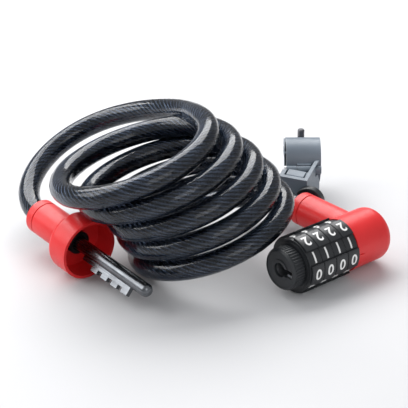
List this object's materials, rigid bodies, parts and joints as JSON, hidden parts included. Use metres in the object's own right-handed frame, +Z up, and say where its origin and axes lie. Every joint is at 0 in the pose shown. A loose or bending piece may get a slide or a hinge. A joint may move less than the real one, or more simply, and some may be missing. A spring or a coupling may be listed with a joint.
{
  "type": "coiled cable combination lock",
  "caption": "Self-coiling cable combination lock with number dials, plug-in bolt end and a clamp-on frame bracket, shown unlocked.",
  "frame": {"origin": "centre of the lock, bolt end and bracket in plan, on the surface they lie on (the cable is left out of the measure)", "axes": "+X along the dial barrel from its knob to its closed end; +Y from the barrel along its cable socket; +Z up"},
  "size_m": [0.1966, 0.1874, 0.0813],
  "materials": {
    "red_plastic": "satin moulded",
    "black_plastic": "fine moulded texture",
    "zinc": "cast and plated",
    "hard_steel": "ground and plated",
    "clear_pvc": "smoked clear sleeve over steel strands",
    "bracket_plastic": "satin moulded",
    "liner_rubber": "matt"
  },
  "bodies": {
    "lock": {"lock_housing": "red_plastic", "core_tube": "zinc", "dial_collar": "black_plastic", "knob_retaining_ring": "zinc", "lock_cable_ferrule": "zinc", "lock_ferrule_pin": "hard_steel", "eject_spring": "hard_steel", "bolt_housing": "red_plastic", "bolt_key": "hard_steel", "bolt_root_collar": "zinc", "bolt_cable_ferrule": "zinc", "bolt_ferrule_pin": "hard_steel", "cable_coil": "clear_pvc", "cable_tail_bolt": "clear_pvc", "cable_tail_lock": "clear_pvc"},
    "knob": {"reset_knob": "black_plastic"},
    "dial_1": {"dial_1": "black_plastic", "gate_ring_1": "zinc"},
    "dial_2": {"dial_2": "black_plastic", "gate_ring_2": "zinc"},
    "dial_3": {"dial_3": "black_plastic", "gate_ring_3": "zinc"},
    "dial_4": {"dial_4": "black_plastic", "gate_ring_4": "zinc"},
    "ejector": {"eject_plunger": "zinc"},
    "bracket_base": {"bracket_holder": "bracket_plastic", "bracket_lower_jaw": "bracket_plastic", "bracket_lower_liner": "liner_rubber", "bracket_hinge_pin": "hard_steel", "bracket_pivot": "hard_steel"},
    "bracket_upper": {"bracket_upper_jaw": "bracket_plastic", "bracket_upper_liner": "liner_rubber"},
    "clamp_screw": {"bracket_screw": "hard_steel"},
    "holder_knob": {"bracket_knob": "bracket_plastic"},
    "holder_latch": {"bracket_latch": "bracket_plastic"}
  },
  "joints": [
    {"name": "dial_1_turn", "type": "hinge", "parent": "lock", "child": "dial_1", "pos_m": [-0.00455, -0.0557, 0.0158], "axis": [1, 0, 0], "continuous": true},
    {"name": "dial_2_turn", "type": "hinge", "parent": "lock", "child": "dial_2", "pos_m": [0.00405, -0.0557, 0.0158], "axis": [1, 0, 0], "continuous": true},
    {"name": "dial_3_turn", "type": "hinge", "parent": "lock", "child": "dial_3", "pos_m": [0.01265, -0.0557, 0.0158], "axis": [1, 0, 0], "continuous": true},
    {"name": "dial_4_turn", "type": "hinge", "parent": "lock", "child": "dial_4", "pos_m": [0.02125, -0.0557, 0.0158], "axis": [1, 0, 0], "continuous": true},
    {"name": "knob_turn", "type": "hinge", "parent": "lock", "child": "knob", "pos_m": [-0.01405, -0.0557, 0.0158], "axis": [1, 0, 0], "range_deg": [0, 90]},
    {"name": "ejector_push", "type": "slide", "parent": "lock", "child": "ejector", "axis": [1, 0, 0], "range_m": [0, 0.0112], "stiffness_N_per_m": 400, "springref_m": -0.003, "deforming": ["eject_spring"]},
    {"name": "bracket_lift", "type": "slide", "parent": "lock", "child": "bracket_base", "axis": [0, 0, 1], "range_m": [0, 0.06]},
    {"name": "clamp_open", "type": "hinge", "parent": "bracket_base", "child": "bracket_upper", "pos_m": [0.06631, 0.01462, 0.0243], "axis": [0.766, -0.6428, 0], "range_deg": [0, 3.5]},
    {"name": "clamp_screw_turn", "type": "hinge", "parent": "bracket_upper", "child": "clamp_screw", "pos_m": [0.08689, 0.03913, 0.036], "axis": [0, 0, 1], "continuous": true},
    {"name": "holder_knob_turn", "type": "hinge", "parent": "bracket_base", "child": "holder_knob", "pos_m": [0.05797, -0.00078, 0.0134], "axis": [-0.9063, -0.4226, 0], "range_deg": [0, 90]},
    {"name": "latch_press", "type": "hinge", "parent": "bracket_base", "child": "holder_latch", "pos_m": [0.05611, 0.01137, 0.0241], "axis": [-0.4226, 0.9063, 0], "range_deg": [0, 8], "stiffness_Nm_per_rad": 0.2}
  ]
}
